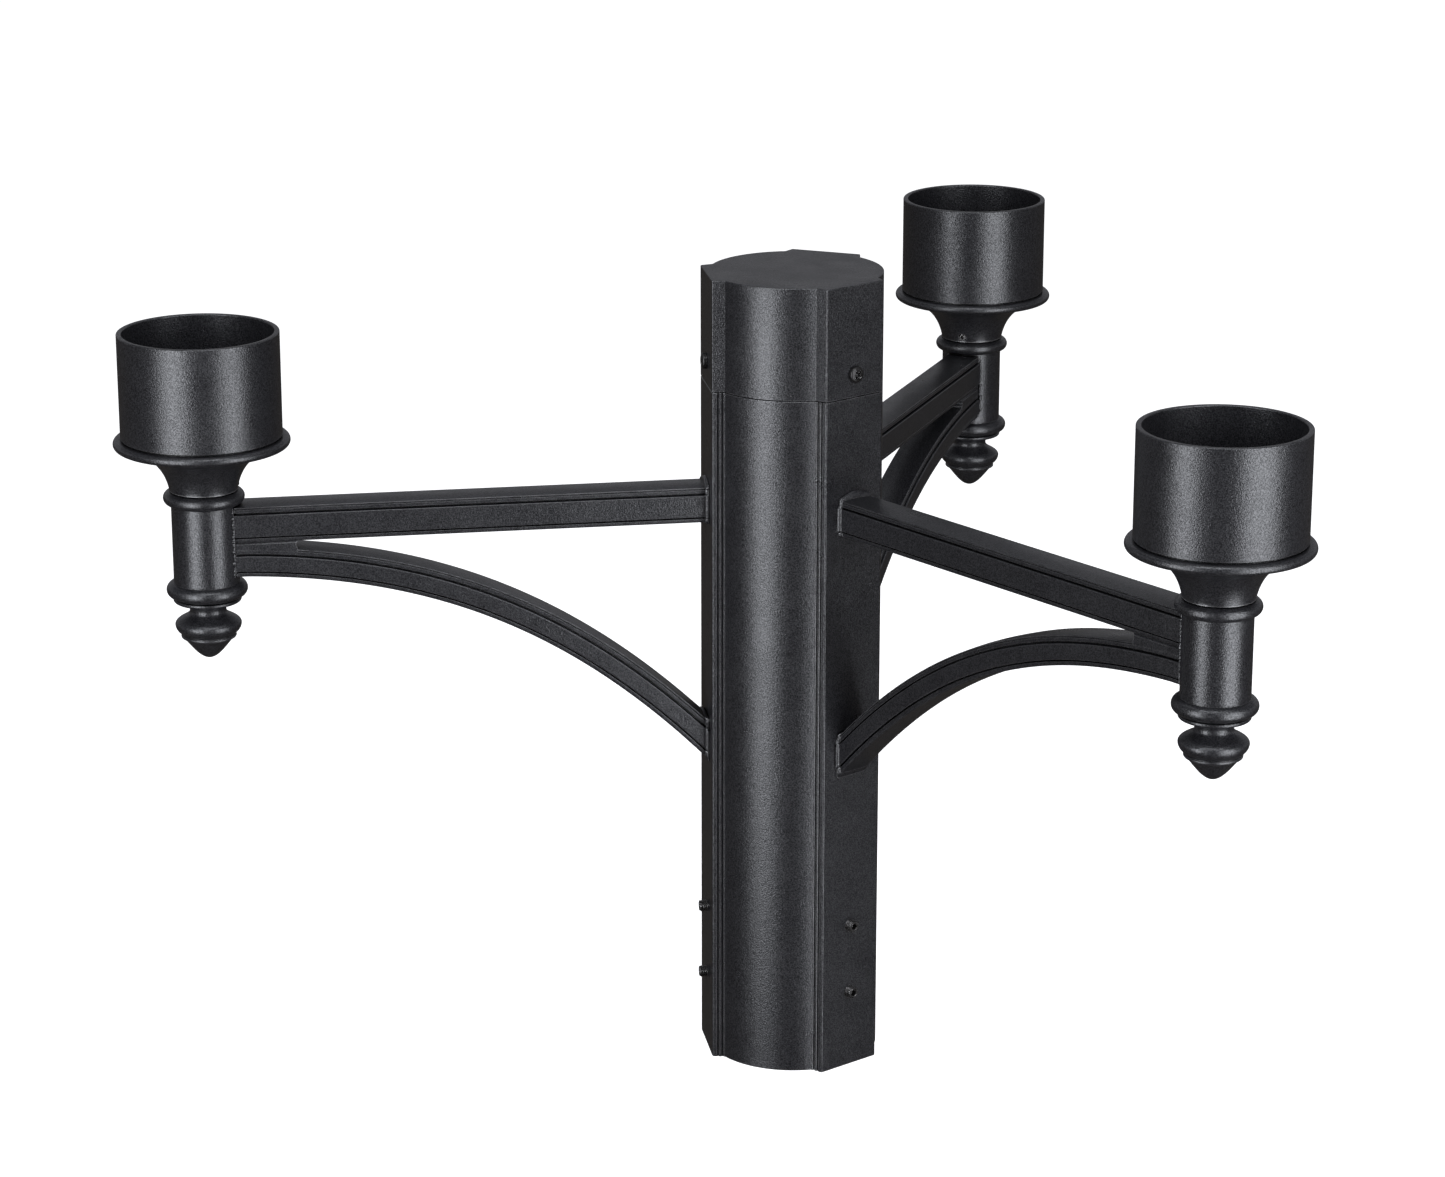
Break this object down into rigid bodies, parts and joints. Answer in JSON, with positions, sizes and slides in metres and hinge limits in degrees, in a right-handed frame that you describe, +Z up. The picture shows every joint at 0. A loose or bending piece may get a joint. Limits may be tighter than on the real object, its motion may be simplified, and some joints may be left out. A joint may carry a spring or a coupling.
{
  "type": "lamp post head",
  "caption": "Lamp post head with bracket arms: a column that slips over a round post, a screwed cap, and an upright cup for a post lantern at the end of each arm.",
  "frame": {"origin": "centre of the post stop's underside, on the column's axis", "axes": "+Z up along the post; arm 1 points along +Y, arms 2 and 3 follow at 120 degrees"},
  "size_m": [0.575, 0.5086, 0.3955],
  "materials": {
    "powder_coat": "satin black textured powder coat",
    "bare_aluminium": "mill finish",
    "black_steel": "blackened, lightly oiled",
    "zinc_steel": "bright zinc plate"
  },
  "bodies": {
    "post_head": {"column_body": "powder_coat", "cap_spigot": "bare_aluminium", "post_stop": "bare_aluminium", "arm_1": "powder_coat", "socket_sleeve_1": "powder_coat", "stem_tube_1": "zinc_steel", "arm_2": "powder_coat", "socket_sleeve_2": "powder_coat", "stem_tube_2": "zinc_steel", "arm_3": "powder_coat", "socket_sleeve_3": "powder_coat", "stem_tube_3": "zinc_steel"},
    "cap": {"top_cap": "powder_coat"},
    "cap_screw_1": {"cap_screw_1": "black_steel"},
    "post_set_screw_1_lower": {"post_set_screw_1_lower": "black_steel"},
    "post_set_screw_1_upper": {"post_set_screw_1_upper": "black_steel"},
    "cup_1": {"lantern_cup_1": "powder_coat"},
    "neck_screw_1": {"neck_screw_1": "black_steel"},
    "stem_nut_1": {"stem_nut_1": "zinc_steel", "stem_washer_1": "zinc_steel"},
    "finial_1": {"finial_1": "powder_coat"},
    "cap_screw_2": {"cap_screw_2": "black_steel"},
    "post_set_screw_2_lower": {"post_set_screw_2_lower": "black_steel"},
    "post_set_screw_2_upper": {"post_set_screw_2_upper": "black_steel"},
    "cup_2": {"lantern_cup_2": "powder_coat"},
    "neck_screw_2": {"neck_screw_2": "black_steel"},
    "stem_nut_2": {"stem_nut_2": "zinc_steel", "stem_washer_2": "zinc_steel"},
    "finial_2": {"finial_2": "powder_coat"},
    "cap_screw_3": {"cap_screw_3": "black_steel"},
    "post_set_screw_3_lower": {"post_set_screw_3_lower": "black_steel"},
    "post_set_screw_3_upper": {"post_set_screw_3_upper": "black_steel"},
    "cup_3": {"lantern_cup_3": "powder_coat"},
    "neck_screw_3": {"neck_screw_3": "black_steel"},
    "stem_nut_3": {"stem_nut_3": "zinc_steel", "stem_washer_3": "zinc_steel"},
    "finial_3": {"finial_3": "powder_coat"}
  },
  "joints": [
    {"name": "cap_lift", "type": "slide", "parent": "post_head", "child": "cap", "axis": [0, 0, 1], "range_m": [0, 0.035]},
    {"name": "cap_screw_1_travel", "type": "slide", "parent": "cap", "child": "cap_screw_1", "axis": [0, 1, 0], "range_m": [0, 0.008]},
    {"name": "post_set_screw_1_lower_travel", "type": "slide", "parent": "post_head", "child": "post_set_screw_1_lower", "axis": [0, 1, 0], "range_m": [-0.003, 0.009]},
    {"name": "post_set_screw_1_upper_travel", "type": "slide", "parent": "post_head", "child": "post_set_screw_1_upper", "axis": [0, 1, 0], "range_m": [-0.003, 0.009]},
    {"name": "cup_1_turn", "type": "hinge", "parent": "post_head", "child": "cup_1", "pos_m": [0, 0.284, 0], "axis": [0, 0, 1], "continuous": true},
    {"name": "neck_screw_1_travel", "type": "slide", "parent": "cup_1", "child": "neck_screw_1", "axis": [0, -1, 0], "range_m": [-0.0037, 0.01]},
    {"name": "stem_nut_1_lift", "type": "slide", "parent": "post_head", "child": "stem_nut_1", "axis": [0, 0, 1], "range_m": [0, 0.013]},
    {"name": "finial_1_unscrew", "type": "slide", "parent": "post_head", "child": "finial_1", "axis": [0, 0, -1], "range_m": [0, 0.014]},
    {"name": "cap_screw_2_travel", "type": "slide", "parent": "cap", "child": "cap_screw_2", "axis": [-0.866, -0.5, 0], "range_m": [0, 0.008]},
    {"name": "post_set_screw_2_lower_travel", "type": "slide", "parent": "post_head", "child": "post_set_screw_2_lower", "axis": [-0.866, -0.5, 0], "range_m": [-0.003, 0.009]},
    {"name": "post_set_screw_2_upper_travel", "type": "slide", "parent": "post_head", "child": "post_set_screw_2_upper", "axis": [-0.866, -0.5, 0], "range_m": [-0.003, 0.009]},
    {"name": "cup_2_turn", "type": "hinge", "parent": "post_head", "child": "cup_2", "pos_m": [-0.24595, -0.142, 0], "axis": [0, 0, 1], "continuous": true},
    {"name": "neck_screw_2_travel", "type": "slide", "parent": "cup_2", "child": "neck_screw_2", "axis": [0.866, 0.5, 0], "range_m": [-0.0037, 0.01]},
    {"name": "stem_nut_2_lift", "type": "slide", "parent": "post_head", "child": "stem_nut_2", "axis": [0, 0, 1], "range_m": [0, 0.013]},
    {"name": "finial_2_unscrew", "type": "slide", "parent": "post_head", "child": "finial_2", "axis": [0, 0, -1], "range_m": [0, 0.014]},
    {"name": "cap_screw_3_travel", "type": "slide", "parent": "cap", "child": "cap_screw_3", "axis": [0.866, -0.5, 0], "range_m": [0, 0.008]},
    {"name": "post_set_screw_3_lower_travel", "type": "slide", "parent": "post_head", "child": "post_set_screw_3_lower", "axis": [0.866, -0.5, 0], "range_m": [-0.003, 0.009]},
    {"name": "post_set_screw_3_upper_travel", "type": "slide", "parent": "post_head", "child": "post_set_screw_3_upper", "axis": [0.866, -0.5, 0], "range_m": [-0.003, 0.009]},
    {"name": "cup_3_turn", "type": "hinge", "parent": "post_head", "child": "cup_3", "pos_m": [0.24595, -0.142, 0], "axis": [0, 0, 1], "continuous": true},
    {"name": "neck_screw_3_travel", "type": "slide", "parent": "cup_3", "child": "neck_screw_3", "axis": [-0.866, 0.5, 0], "range_m": [-0.0037, 0.01]},
    {"name": "stem_nut_3_lift", "type": "slide", "parent": "post_head", "child": "stem_nut_3", "axis": [0, 0, 1], "range_m": [0, 0.013]},
    {"name": "finial_3_unscrew", "type": "slide", "parent": "post_head", "child": "finial_3", "axis": [0, 0, -1], "range_m": [0, 0.014]}
  ]
}
